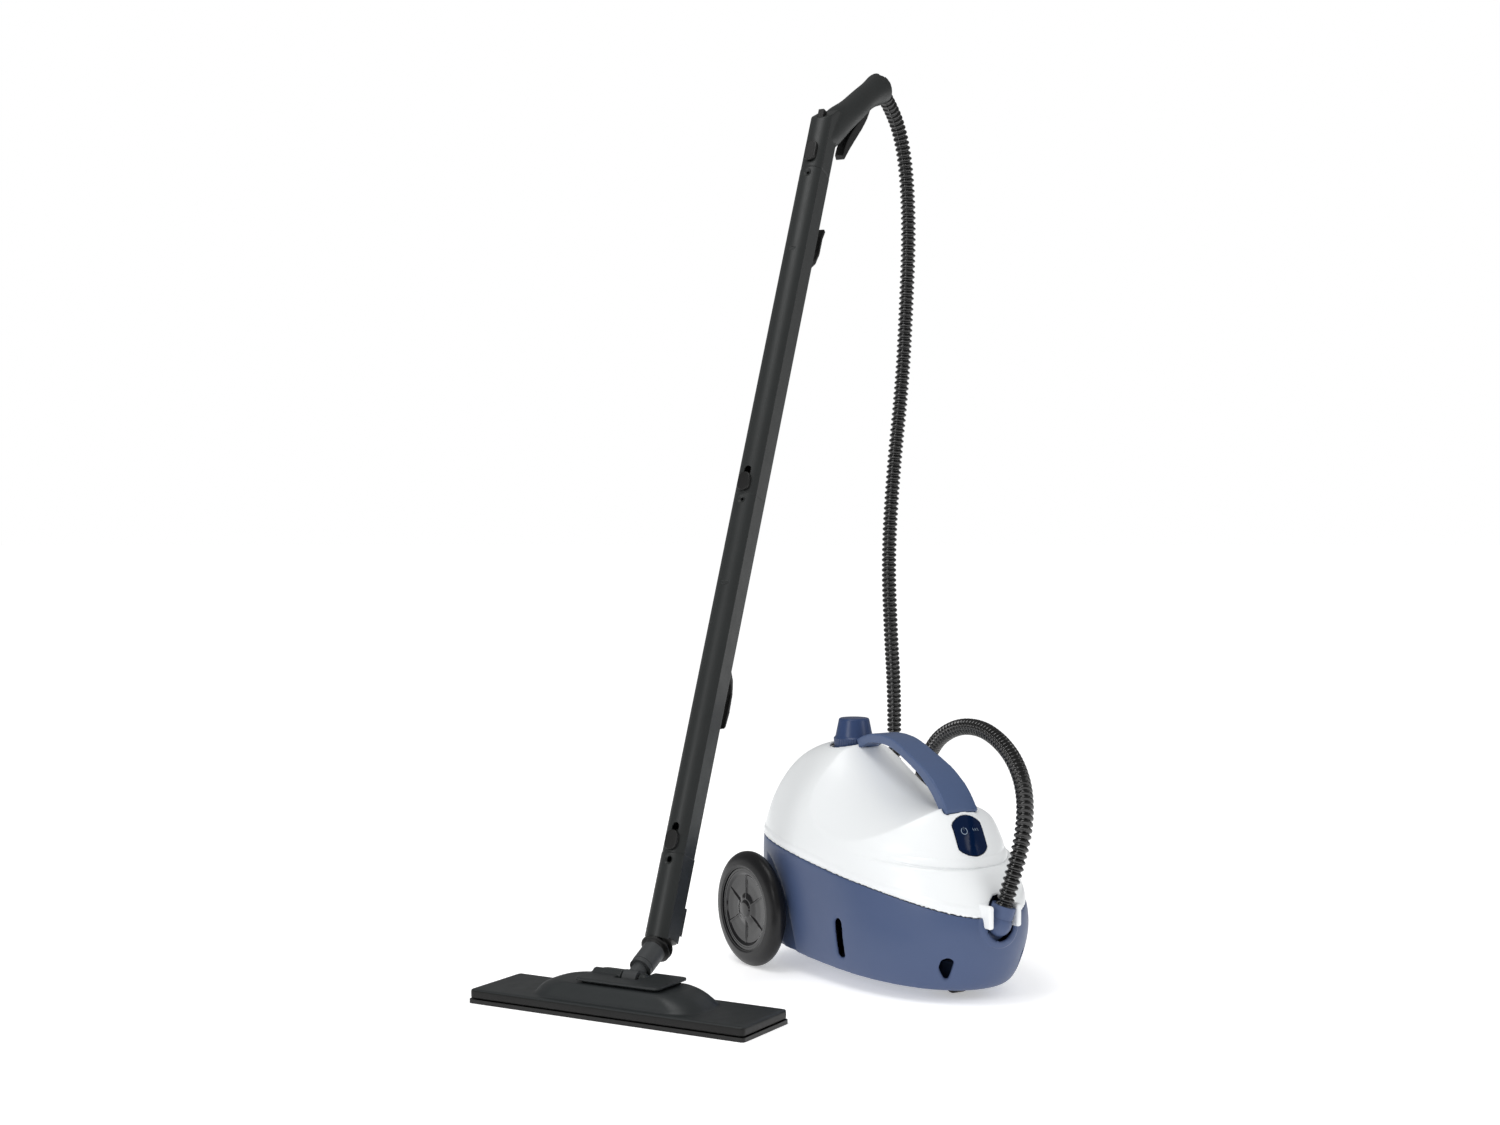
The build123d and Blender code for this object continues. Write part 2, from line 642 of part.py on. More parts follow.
def neck_channel():
    """Room in the head for the yoke and the collar, from upright to laid back."""
    upright_room = Pos(0, PIVOT_BACK, 60) * Box(27, 28, 87)
    laid = Pos(0, PIVOT_BACK, PIVOT_HEIGHT) * Rot(-75, 0, 0) * Pos(0, 0, 30) * Box(27, 28.6, 90)
    swing = Pos(0, PIVOT_BACK, PIVOT_HEIGHT) * Rot(0, 90, 0) * Cylinder(13, 27)
    between = Pos(0, PIVOT_BACK + 30, 60) * Box(27, 60, 60)
    return upright_room + laid + swing + between


def rounded_slab(length, depth, low, high, radius, x=0.0, y=0.0):
    return Pos(x, y, low) * extrude(RectangleRounded(length, depth, radius), high - low)


def head_sole():
    return rounded_slab(HEAD_LENGTH, HEAD_DEPTH, 0, SOLE_TOP, 4)


def head_body():
    """Wide cover with a smooth hump over the middle."""
    slab = rounded_slab(HEAD_LENGTH - 2, HEAD_DEPTH - 2, SOLE_TOP, HEAD_TOP, 4)
    slab = fillet(slab.edges().group_by(Axis.Z)[-1], 1.5)
    hump = loft([Pos(0, 1, HEAD_TOP - 1) * RectangleRounded(206, 78, 30),
                 Pos(-2, 2, 24) * RectangleRounded(186, 68, 28),
                 Pos(-2, 3, HUMP_TOP) * RectangleRounded(150, 56, 24)])
    body = slab + hump - rounded_slab(HEAD_LENGTH - 8, HEAD_DEPTH - 8, 0, HEAD_TOP - 3, 2)
    return body - neck_channel() - pivot_pin()


def head_plate():
    """Raised plate on the hump, with the pivot bosses."""
    plate = rounded_slab(104, 60, 33.5, 36.5, 7, 3, 6) + rounded_slab(94, 50, HUMP_TOP, 33.5, 4, 3, 6)
    plate = plate - neck_channel()
    left = Pos(-29, PIVOT_BACK, PIVOT_HEIGHT + 0.5) * Rot(0, 90, 0) * Cylinder(7, 36)
    right = Pos(13.5, PIVOT_BACK, PIVOT_HEIGHT + 0.5) * Rot(0, 90, 0) * Cylinder(6, 8)
    cleared = [(left & Pos(0, 0, HUMP_TOP + 20) * Box(400, 100, 40)) - Pos(0, PIVOT_BACK, 40) * Box(19, 60, 60),
               (right & Pos(0, 0, HUMP_TOP + 20) * Box(400, 100, 40)) - Pos(0, PIVOT_BACK, 40) * Box(19, 60, 60)]
    return plate + cleared - pivot_pin()


def pivot_pin():
    return Pos(-1.5, PIVOT_BACK, PIVOT_HEIGHT) * Rot(0, 90, 0) * Cylinder(3, 37)


def head_duct():
    """Steam channel under the cover."""
    bar = Pos(0, -14, 8) * Box(280, 12, 6.5)
    holes = [Pos(x, -14, 4) * Cylinder(1.5, 12) for x in range(-120, 121, 40)]
    return bar - holes


# ---------------------------------------------------------------- hose
def hose_radii(points):
    """Arc radius at each corner of the route: 0.45 of the shorter run over tan(half the turn)."""
    radii = []
    for before, corner, after in zip(points, points[1:], points[2:]):
        arrive, leave = Vector(*corner) - Vector(*before), Vector(*after) - Vector(*corner)
        turn = math.radians(arrive.get_angle(leave))
        radii.append(0.45 * min(arrive.length, leave.length) / math.tan(turn / 2))
    return radii


def hose():
    radii = hose_radii(HOSE_ROUTE)
    path = FilletPolyline(*HOSE_ROUTE, radius=radii)
    start = Plane(origin=path @ 0, z_dir=path % 0)
    tube = sweep(start * Circle(HOSE_DIAMETER / 2), path=path)
    section = math.pi * HOSE_DIAMETER ** 2 / 4
    print("hose length", round(path.length), "radii", [round(radius) for radius in radii])
    print("hose volume", round(tube.volume), "section times length", round(section * path.length))
    return tube


# ---------------------------------------------------------------- write the nodes
os.makedirs("parts", exist_ok=True)

save("lower_shell", lower_shell(), canister)
save("upper_shell", upper_shell(), canister)
save("carry_handle", carry_handle(), canister)
save("control_lens", control_lens(), canister)
save("indicator_board", indicator_board(), canister)
save("indicator_lamps", indicator_lamps(), canister)
save("boiler_lower", boiler_lower(), canister)
save("boiler_upper", boiler_upper(), canister)
save("filler_neck", filler_neck(), canister)
save("filler_dish", filler_dish(), canister)
save("heating_element", heating_element(), canister)
save("thermostat", disc_on_boiler(28, 100, 9), canister)
save("thermal_fuse", disc_on_boiler(-28, 100, 6), canister)
save("steam_valve", steam_valve(), canister)
save("steam_pipe", steam_pipe(), canister)
save("valve_pipe", valve_pipe(), canister)
save("hose_socket", hose_socket(), canister)
save("hose_ball", hose_ball(), canister)
save("cable_gland", cable_gland(), canister)
save("shell_screws", shell_screws(), canister)
save("rear_axle", drum(AXLE_RADIUS, -120, 120, 0, WHEEL_RADIUS), canister)
save("axle_clips", axle_clips(), canister)
save("cap_knob", cap_knob(), canister)
save("cap_seal", cap_seal(), canister)
for side_name, side in (("right", -1), ("left", 1)):
    save(f"tyre_{side_name}", tyre(side), canister)
    save(f"hub_{side_name}", hub(side), canister)
    save(f"hub_cap_{side_name}", hub_cap(side), canister)
save("caster_fork", caster_fork(), canister)
save("caster_wheel", caster_wheel(), canister)
save("caster_axle", caster_axle(), canister)
save("hose", hose(), canister)
save("grip_left", grip_half(1), wand_frame)
save("grip_right", grip_half(-1), wand_frame)
save("hose_sleeve", hose_sleeve(), wand_frame)
save("trigger", trigger(), wand_frame)
save("trigger_pin", trigger_pin(1.5, 12.5), wand_frame)
save("trigger_lock", trigger_lock(), wand_frame)
save("micro_switch", micro_switch(), wand_frame)
save("tube_upper", wand_tube(LOWER_TOP, UPPER_TOP), wand_frame)
save("tube_lower", wand_tube(ADAPTER_TOP, LOWER_TOP), wand_frame)
save("adapter", adapter(), wand_frame)
save("latch_grip", latch(UPPER_TOP, 7, 26, 12), wand_frame)
save("latch_upper", latch(LOWER_TOP, 2, 22, 18), wand_frame)
save("latch_lower", latch(ADAPTER_TOP, 2, 22, 18), wand_frame)
save("hook_upper", hook_upper(), wand_frame)
save("hook_lower", hook_lower(), wand_frame)
save("joint_seals", joint_seals(), wand_frame)
pipes = [(ADAPTER_TOP + 32, LOWER_TOP + 27), (LOWER_TOP + 32, UPPER_TOP + 27), (12, ADAPTER_TOP + 27)]
save("inner_pipes", Compound([inner_pipe(low, high) for low, high in pipes]), wand_frame)
save("bellows", bellows(), neck_frame)
save("neck_collar", neck_collar(), neck_frame)
save("neck_yoke", neck_yoke(), neck_frame)
save("pivot_pin", pivot_pin(), head_frame)
save("head_plate", head_plate(), head_frame)
save("head_body", head_body(), head_frame)
save("head_duct", head_duct(), head_frame)
save("head_sole", head_sole(), head_frame)
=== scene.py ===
"""Canister steam cleaner: moulded casing on wheels, corrugated hose, trigger grip, wand and floor head."""
import json
import math

import bmesh
import bpy
import numpy as np
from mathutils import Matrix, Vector
from mathutils.bvhtree import BVHTree


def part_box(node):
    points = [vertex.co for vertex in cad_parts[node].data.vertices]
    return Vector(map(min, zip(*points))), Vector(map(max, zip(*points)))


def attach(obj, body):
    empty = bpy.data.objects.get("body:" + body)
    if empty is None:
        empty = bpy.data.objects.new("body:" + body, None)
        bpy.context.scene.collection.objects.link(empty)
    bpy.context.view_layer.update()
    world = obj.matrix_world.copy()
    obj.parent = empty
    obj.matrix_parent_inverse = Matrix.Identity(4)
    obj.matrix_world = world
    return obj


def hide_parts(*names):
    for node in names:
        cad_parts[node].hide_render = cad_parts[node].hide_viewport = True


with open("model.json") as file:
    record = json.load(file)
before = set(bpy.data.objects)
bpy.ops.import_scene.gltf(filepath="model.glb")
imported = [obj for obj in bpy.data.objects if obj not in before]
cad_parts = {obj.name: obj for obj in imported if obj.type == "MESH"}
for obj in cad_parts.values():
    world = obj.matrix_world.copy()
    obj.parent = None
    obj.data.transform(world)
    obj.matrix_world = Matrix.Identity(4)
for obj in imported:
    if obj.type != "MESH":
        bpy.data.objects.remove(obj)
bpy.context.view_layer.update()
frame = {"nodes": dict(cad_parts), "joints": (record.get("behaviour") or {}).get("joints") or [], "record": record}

# ---------------------------------------------------------------- camera
# Standing eye looking down the casing's nose quarter, level with the middle of the wand.
axle_low, axle_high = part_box("rear_axle")
AXLE = Vector(((axle_low.x + axle_high.x) / 2, (axle_low.y + axle_high.y) / 2, 0))

eye = bpy.data.cameras.new("camera")
eye.lens = 52.8
eye.clip_end = 20
camera = bpy.data.objects.new("camera", eye)
bpy.context.collection.objects.link(camera)
camera.location = AXLE + Vector((-1.4343, -2.1071, 0.545))
camera.rotation_euler = (math.radians(88), 0, -math.radians(32))
bpy.context.scene.camera = camera

# ---------------------------------------------------------------- floor and studio light
# White seamless floor under a broad soft light from above, with a weaker one from each side.
# The surroundings are brightest straight behind the object and dimmer in its reflections.
AMBIENT = 0.68
FLOOR_REACH = 60
bpy.context.scene.view_settings.view_transform = "Standard"
world = bpy.data.worlds.new("studio")
world.use_nodes = True
world.node_tree.nodes["Background"].inputs["Color"].default_value = (1, 1, 1, 1)
rays = world.node_tree.nodes.new("ShaderNodeLightPath")
receiver = world.node_tree.nodes["Background"].inputs["Strength"]
for ray, change in (("Is Glossy Ray", -0.45), ("Is Camera Ray", 0.32)):
    blend = world.node_tree.nodes.new("ShaderNodeMath")
    blend.operation = "MULTIPLY_ADD"
    blend.inputs[1].default_value = change
    world.node_tree.links.new(rays.outputs[ray], blend.inputs[0])
    world.node_tree.links.new(blend.outputs[0], receiver)
    receiver = blend.inputs[2]
receiver.default_value = AMBIENT
bpy.context.scene.world = world


class Wire:
    """One shader value; sums and products of it add Math nodes."""

    def __init__(self, finish, socket):
        self.finish = finish
        self.socket = socket

    def math(self, operation, first, second=0.0):
        return self.finish.add("ShaderNodeMath", {"operation": operation}, {0: first, 1: second})

    def __add__(self, other):
        return self.math("ADD", self, other)

    def __mul__(self, other):
        return self.math("MULTIPLY", self, other)

    __radd__ = __add__
    __rmul__ = __mul__


class Finish:
    """A material that is built up node by node round one Principled shader."""

    def __init__(self, name, **constants):
        self.material = bpy.data.materials.new(name)
        self.material.use_nodes = True
        self.tree = self.material.node_tree
        self.shader = self.tree.nodes["Principled BSDF"]
        for socket, value in constants.items():
            self.shader.inputs[socket.replace("_", " ")].default_value = value

    def add(self, kind, settings=None, inputs=None, output=0):
        """New node of that kind: settings first, then its sockets' values or links."""
        node = self.tree.nodes.new(kind)
        for key, value in (settings or {}).items():
            if key == "stops":
                for stop, (place, grey) in zip(node.color_ramp.elements, value):
                    stop.position = place
                    stop.color = (grey, grey, grey, 1)
            else:
                setattr(node, key, value)
        for key, value in (inputs or {}).items():
            if isinstance(value, Wire):
                self.tree.links.new(value.socket, node.inputs[key])
            else:
                node.inputs[key].default_value = value
        return Wire(self, node.outputs[output])

    def place(self):
        return self.add("ShaderNodeTexCoord", output="Object")

    def noise(self, scale, detail=3.0, where=None):
        inputs = {"Vector": where or self.place(), "Scale": scale, "Detail": detail}
        return self.add("ShaderNodeTexNoise", None, inputs, "Fac")

    def feed(self, socket, wire):
        self.tree.links.new(wire.socket, self.shader.inputs[socket])

    def tint(self, amount, dark, light):
        """Mix of two colours on the base colour."""
        mixed = self.add("ShaderNodeMix", {"data_type": "RGBA"}, {0: amount, 6: dark, 7: light}, 2)
        self.feed("Base Color", mixed)

    def relief(self, height, depth, edge=0.0):
        """Bump of that depth in metres, on edges rounded by the given radius."""
        inputs = {"Height": height, "Strength": 1.0, "Distance": depth}
        if edge:
            inputs["Normal"] = self.add("ShaderNodeBevel", {"samples": 6}, {"Radius": edge})
        self.feed("Normal", self.add("ShaderNodeBump", None, inputs))


def shade(colour, factor):
    return tuple(part * factor for part in colour[:3]) + (1,)


floor_mesh = bpy.data.meshes.new("floor")
floor_corners = [(x * FLOOR_REACH, y * FLOOR_REACH, 0) for x, y in ((-1, -1), (1, -1), (1, 1), (-1, 1))]
floor_mesh.from_pydata(floor_corners, [], [(0, 1, 2, 3)])
floor = bpy.data.objects.new("floor", floor_mesh)
paper = Finish("floor_paper", Specular_IOR_Level=0.0, Emission_Color=(1, 1, 1, 1), Emission_Strength=0.40)
paper.tint(paper.noise(1.5), (0.93, 0.93, 0.93, 1), (0.95, 0.95, 0.95, 1))
paper.feed("Roughness", paper.noise(40) * 0.1 + 0.75)
floor_mesh.materials.append(paper.material)
bpy.context.collection.objects.link(floor)


def soft_light(name, place, aim, size, power):
    """Square area light that points at aim."""
    lamp = bpy.data.lights.new(name, "AREA")
    lamp.size = size
    lamp.energy = power
    holder = bpy.data.objects.new(name, lamp)
    holder.location = place
    holder.rotation_euler = (Vector(aim) - Vector(place)).to_track_quat("-Z", "Y").to_euler()
    bpy.context.collection.objects.link(holder)


soft_light("light_above", (-0.9, -0.2, 2.6), (0, 0, 0.3), 1.2, 20)
soft_light("light_left", (-2.4, -0.6, 1.2), (0, 0, 0.4), 0.8, 12)
soft_light("light_right", (1.6, -2.0, 1.3), (0, 0, 0.4), 0.8, 5)


# ---------------------------------------------------------------- hose
# Corrugated steam hose, a glossy black blown tube with ring ribs that stand close together.
# It leaves the ball in the nose, loops over the casing and climbs to the end of the grip.
def moulded(name, colour, roughness, grain=900, depth=0.00004, edge=0.0012, drift=0.12, coat=0.0,
            shine=0.5):
    """Injection-moulded plastic: fine spark-eroded grain, faint flow marks, small rounded edges."""
    finish = Finish(name, Coat_Weight=coat, Coat_Roughness=0.08, Specular_IOR_Level=shine)
    flow = finish.noise(9, 4)
    finish.tint(flow, shade(colour, 1 - drift), shade(colour, 1 + drift))
    wear = finish.noise(60, 5)
    finish.feed("Roughness", wear * 0.14 + (roughness - 0.07))
    finish.relief(finish.noise(grain, 2), depth, edge)
    return finish.material


def smooth(mesh):
    mesh.polygons.foreach_set("use_smooth", [True] * len(mesh.polygons))
    mesh.update()


def new_piece(name, vertices, faces, material, body):
    """Mesh object with its finish, on its body."""
    mesh = bpy.data.meshes.new(name)
    mesh.from_pydata([tuple(vertex) for vertex in vertices], [], faces)
    smooth(mesh)
    mesh.materials.append(material)
    piece = bpy.data.objects.new(name, mesh)
    bpy.context.collection.objects.link(piece)
    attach(piece, body)
    return piece


def grid_faces(rows, columns, closed=True):
    """Quads between successive rows of points, round and back to the first column if closed."""
    last = columns if closed else columns - 1
    return [(r * columns + c, r * columns + (c + 1) % columns,
             (r + 1) * columns + (c + 1) % columns, (r + 1) * columns + c)
            for r in range(rows - 1) for c in range(last)]


HOSE_DIAMETER = 0.019
HOSE_RIB = 0.0068
HOSE_ROUTE = [
    (0.0048, -0.3063, 0.1061), (0.014, -0.314, 0.146), (0.030, -0.309, 0.186), (0.048, -0.287, 0.220),
    (0.064, -0.252, 0.246), (0.079, -0.206, 0.264), (0.091, -0.154, 0.274), (0.099, -0.098, 0.269),
    (0.107, -0.044, 0.244), (0.123, 0.002, 0.192), (0.146, 0.042, 0.132), (0.168, 0.080, 0.068),
    (0.190, 0.117, 0.027), (0.213, 0.158, 0.0115), (0.237, 0.199, 0.0125), (0.258, 0.236, 0.034),
    (0.275, 0.264, 0.072), (0.285, 0.281, 0.125), (0.288, 0.284, 0.195), (0.276, 0.268, 0.275),
    (0.256, 0.248, 0.350), (0.240, 0.232, 0.450), (0.236, 0.216, 0.560), (0.242, 0.204, 0.680),
    (0.240, 0.193, 0.780), (0.240, 0.188, 0.867), (0.2346, 0.185, 0.9374), (0.2215, 0.178, 0.983),
    (0.1992, 0.1661, 1.0166), (0.1692, 0.1502, 1.0378),
]


def smooth_line(name, points):
    """Points along the NURBS line that the given control points pull."""
    curve = bpy.data.curves.new(name, "CURVE")
    curve.dimensions = "3D"
    curve.resolution_u = 24
    spline = curve.splines.new("NURBS")
    spline.points.add(len(points) - 1)
    for control, point in zip(spline.points, points):
        control.co = (*point, 1)
    spline.order_u = 3
    spline.use_endpoint_u = True
    holder = bpy.data.objects.new(name, curve)
    mesh = bpy.data.meshes.new_from_object(holder)
    line = np.array([vertex.co for vertex in mesh.vertices])
    bpy.data.objects.remove(holder)
    bpy.data.curves.remove(curve)
    bpy.data.meshes.remove(mesh)
    return line


def even_steps(line, step):
    """The same line at equal steps."""
    runs = np.linalg.norm(np.diff(line, axis=0), axis=1)
    along = np.concatenate([[0], np.cumsum(runs)])
    count = max(2, int(round(along[-1] / step)))
    stations = np.linspace(0, along[-1], count + 1)
    points = np.stack([np.interp(stations, along, line[:, axis]) for axis in range(3)], 1)
    return points, stations


def tube_skin(points, radii, sides, start_up):
    """Rings of points round a line, without twist."""
    tangents = np.gradient(points, axis=0)
    tangents /= np.linalg.norm(tangents, axis=1)[:, None]
    up = np.array(start_up, float)
    rings = []
    for point, tangent, radius in zip(points, tangents, radii):
        up = up - tangent * np.dot(up, tangent)
        up /= np.linalg.norm(up)
        side = np.cross(tangent, up)
        turn = np.linspace(0, 2 * math.pi, sides, endpoint=False)[:, None]
        rings.append(point + radius * (np.cos(turn) * up + np.sin(turn) * side))
    return np.concatenate(rings)


hose_black = moulded("hose_black", (0.003, 0.003, 0.003), 0.16, grain=400, depth=0.00003, edge=0, drift=0.3,
                     coat=0.3, shine=0.6)
hose_line = smooth_line("hose_line", [AXLE + Vector(point) for point in HOSE_ROUTE])
hose_points, hose_stations = even_steps(hose_line, HOSE_RIB / 9)
rib_phase = hose_stations / HOSE_RIB * 2 * math.pi
rib_height = np.clip(0.5 + 0.62 * np.cos(rib_phase), 0, 1) ** 0.8
hose_radii = HOSE_DIAMETER / 2 - 0.0025 * (1 - rib_height)
hose_skin = tube_skin(hose_points, hose_radii, 28, (1, 0, 0))
hose = new_piece("corrugated_hose", hose_skin, grid_faces(len(hose_points), 28), hose_black, "canister")
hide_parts("hose")


# ---------------------------------------------------------------- casing halves
# Two injection-moulded halves meet at a fine sloping joint: glossy white above, satin blue below.
# The white half is scooped out across its top to make room for a hand under the carry strap.
def joined_nodes(names):
    """One mesh holding copies of CAD nodes."""
    merged = bmesh.new()
    for name in names:
        merged.from_mesh(frame["nodes"][name].data)
    mesh = bpy.data.meshes.new("joined")
    merged.to_mesh(mesh)
    merged.free()
    return mesh


def relax(points, edges, rounds, share=0.5):
    """Pull every point towards the middle of its neighbours."""
    count = np.bincount(edges.ravel(), minlength=len(points))[:, None]
    for _ in range(rounds):
        total = np.zeros_like(points)
        np.add.at(total, edges[:, 0], points[edges[:, 1]])
        np.add.at(total, edges[:, 1], points[edges[:, 0]])
        points = points + share * (total / np.maximum(count, 1) - points)
    return points


def moulding(name, nodes, cell, rounds, material, body, shape=None):
    """Moulded part over its CAD solids, remeshed finely, with its edges rounded off."""
    mesh = joined_nodes(nodes)
    source = bpy.data.objects.new(name + "_source", mesh)
    bpy.context.collection.objects.link(source)
    remesh = source.modifiers.new("remesh", "REMESH")
    remesh.mode = "VOXEL"
    remesh.voxel_size = cell
    graph = bpy.context.evaluated_depsgraph_get()
    fine = bpy.data.meshes.new_from_object(source.evaluated_get(graph))
    bpy.data.objects.remove(source)
    bpy.data.meshes.remove(mesh)
    points = np.zeros(len(fine.vertices) * 3)
    fine.vertices.foreach_get("co", points)
    edges = np.zeros(len(fine.edges) * 2, int)
    fine.edges.foreach_get("vertices", edges)
    edges = edges.reshape(-1, 2)
    points = relax(points.reshape(-1, 3), edges, rounds)
    if shape:
        fine.vertices.foreach_set("co", points.ravel())
        fine.update()
        normals = np.zeros(len(points) * 3)
        fine.vertices.foreach_get("normal", normals)
        points = shape(points, normals.reshape(-1, 3))
        points = relax(points, edges, 1)
    fine.vertices.foreach_set("co", points.ravel())
    fine.materials.clear()
    fine.materials.append(material)
    smooth(fine)
    piece = bpy.data.objects.new(name, fine)
    bpy.context.collection.objects.link(piece)
    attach(piece, body)
    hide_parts(*nodes)
    return piece


white_casing = moulded("white_casing", (0.84, 0.86, 0.87), 0.32, grain=500, depth=0.00001, edge=0, drift=0.01,
                       coat=0.1)
blue_casing = moulded("blue_casing", (0.062, 0.092, 0.185), 0.42, edge=0, drift=0.04, shine=0.35)

BALL_HEIGHT = 0.086
SEAM = [(-0.100, 0.152), (0, 0.143), (0.114, 0.130), (0.244, 0.109), (0.290, 0.097), (0.340, 0.082)]


def above_seam(points):
    """Height over the joint between the halves."""
    forward = AXLE.y - points[:, 1]
    line = np.interp(forward, [place for place, height in SEAM], [height for place, height in SEAM])
    return points[:, 2] - line


def step(value, low, high):
    share = np.clip((value - low) / (high - low), 0, 1)
    return share * share * (3 - 2 * share)


def nose_boss(points, normals):
    """Raised round boss about the hose ball, left flat where the ball turns."""
    reach = np.hypot(points[:, 0] - AXLE.x, points[:, 2] - BALL_HEIGHT)
    facing = (normals[:, 1] < -0.5) * (AXLE.y - points[:, 1] > 0.26)
    rise = facing * (0.0022 * (1 - step(reach, 0.0235, 0.0255))) * (reach > 0.0178)
    return points + normals * rise[:, None]


def upper_details(points, normals):
    """Raised lip along the joint, and a soft shelf that runs round the nose."""
    rise = above_seam(points)
    forward = AXLE.y - points[:, 1]
    lip = 0.0011 * (1 - step(rise, 0.0085, 0.0098))
    outward = np.abs(normals[:, 2]) < 0.85
    shelf_height = points[:, 2] - (0.139 - 0.10 * (forward - 0.27))
    shelf_reach = step(forward, 0.16, 0.25)
    ledge = 0.0030 * np.exp(-(np.minimum(shelf_height, 0) / 0.010) ** 2) * (shelf_height < 0.001)
    hollow = 0.0022 * np.exp(-((shelf_height - 0.006) / 0.006) ** 2)
    shelf = shelf_reach * (ledge - hollow)
    return points + normals * ((lip + shelf) * outward)[:, None]


moulding("upper_casing", ["upper_shell"], 0.0013, 5, white_casing, "canister", upper_details)
moulding("lower_casing", ["lower_shell"], 0.0013, 2, blue_casing, "canister", nose_boss)


def soft_block(name, low, high, radius, material, body):
    """Block with well rounded edges."""
    block = bmesh.new()
    bmesh.ops.create_cube(block, size=1)
    for vertex in block.verts:
        vertex.co = [a + (b - a) * (part + 0.5) for a, b, part in zip(low, high, vertex.co)]
    bmesh.ops.bevel(block, geom=block.edges[:], offset=radius, segments=4, profile=0.5, affect="EDGES")
    vertices = [tuple(vertex.co) for vertex in block.verts]
    faces = [[vertex.index for vertex in face.verts] for face in block.faces]
    block.free()
    return new_piece(name, vertices, faces, material, body)


for side_name, side in (("right", -1), ("left", 1)):
    low_x, high_x = sorted((AXLE.x + side * 0.0150, AXLE.x + side * 0.0215))
    soft_block("nose_tab_" + side_name, (low_x, AXLE.y - 0.3155, 0.0835), (high_x, AXLE.y - 0.282, 0.108),
               0.0026, white_casing, "canister")

# ---------------------------------------------------------------- carry strap
# Solid blue moulding bridged over the hand scoop; its ends run down inside the white half.
# Remeshed from its CAD solid, so that its edges come out soft.
blue_handle = moulded("blue_handle", (0.068, 0.104, 0.205), 0.38, edge=0, drift=0.04, shine=0.35)
moulding("carry_strap", ["carry_handle"], 0.0009, 4, blue_handle, "canister")

# ---------------------------------------------------------------- filler cap
# Tapered screw knob, moulded in dark blue with fine grip ribs round its foot and a plug below.
# Turned from one profile; the ribs are waves in the radius.
cap_blue = moulded("cap_blue", (0.026, 0.050, 0.130), 0.32, edge=0, drift=0.05, shine=0.4)


def lathe(profile, sides, centre, shape=None):
    """Rings turned round a vertical line from (radius, height) pairs."""
    turn = np.linspace(0, 2 * math.pi, sides, endpoint=False)
    rows = []
    for radius, height in profile:
        reach = np.full(sides, float(radius))
        if shape:
            reach = shape(reach, height, turn)
        rows.append(np.stack([centre[0] + reach * np.cos(turn), centre[1] + reach * np.sin(turn),
                              np.full(sides, float(height))], 1))
    return np.concatenate(rows)


def rounded(profile, radius, arc_steps=4):
    """The same profile with its inner corners replaced by short arcs."""
    points = [Vector(point) for point in profile]
    result = [points[0]]
    for before, corner, after in zip(points, points[1:], points[2:]):
        reach = min(radius, (before - corner).length * 0.45, (after - corner).length * 0.45)
        start = corner + (before - corner).normalized() * reach
        end = corner + (after - corner).normalized() * reach
        for index in range(arc_steps + 1):
            share = index / arc_steps
            result.append(start.lerp(corner, share).lerp(corner.lerp(end, share), share))
    result.append(points[-1])
    return [tuple(point) for point in result]


cap_low, cap_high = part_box("cap_knob")
cap_centre = ((cap_low.x + cap_high.x) / 2, (cap_low.y + cap_high.y) / 2)
cap_foot = cap_high.z - 0.0348


def cap_ribs(reach, height, turn):
    """Fine vertical grip ribs on the foot of the knob."""
    share = step(height, cap_foot + 0.001, cap_foot + 0.002)
    share = share * (1 - step(height, cap_foot + 0.011, cap_foot + 0.013))
    return reach - 0.0006 * share * (0.5 - 0.5 * np.cos(turn * 48))


cap_profile = [(0.0002, cap_high.z), (0.0172, cap_high.z), (0.0215, cap_foot + 0.014)]
cap_profile += [(0.0235 - 0.0001 * k, cap_foot + 0.012 - 0.001 * k) for k in range(11)]
cap_profile += [(0.0238, cap_foot), (0.0126, cap_foot), (0.0126, cap_low.z), (0.0002, cap_low.z)]
cap_rows = rounded(cap_profile, 0.0022)
cap_piece = new_piece("screw_cap", lathe(cap_rows, 288, cap_centre, cap_ribs),
                      grid_faces(len(cap_rows), 288), cap_blue, "cap")
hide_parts("cap_knob")

# ---------------------------------------------------------------- control lens
# Smoked navy window let into the nose above the hose, printed with a power ring and a steam sign.
# The window is the CAD solid itself; the signs are thin strips laid a hair over its outer face.
lens_navy = moulded("lens_navy", (0.002, 0.010, 0.040), 0.12, grain=50, depth=0.000003, edge=0.0006,
                    shine=0.2)
sign_grey = moulded("sign_grey", (0.30, 0.38, 0.48), 0.4, edge=0)
lens_up = Vector((0, 0.447, 0.894))
lens_out = Vector((0, -0.894, 0.447))
lens_mesh = frame["nodes"]["control_lens"].data
lens_tree = BVHTree.FromPolygons([vertex.co.copy() for vertex in lens_mesh.vertices],
                                 [tuple(polygon.vertices) for polygon in lens_mesh.polygons])


def lens_point(across, up):
    """Point a hair above the lens's outer face."""
    start = Vector((AXLE.x + across, AXLE.y - 0.257, 0.174)) + lens_up * up + lens_out * 0.04
    place = lens_tree.ray_cast(start, -lens_out)[0]
    return (place or start) + lens_out * 0.0002


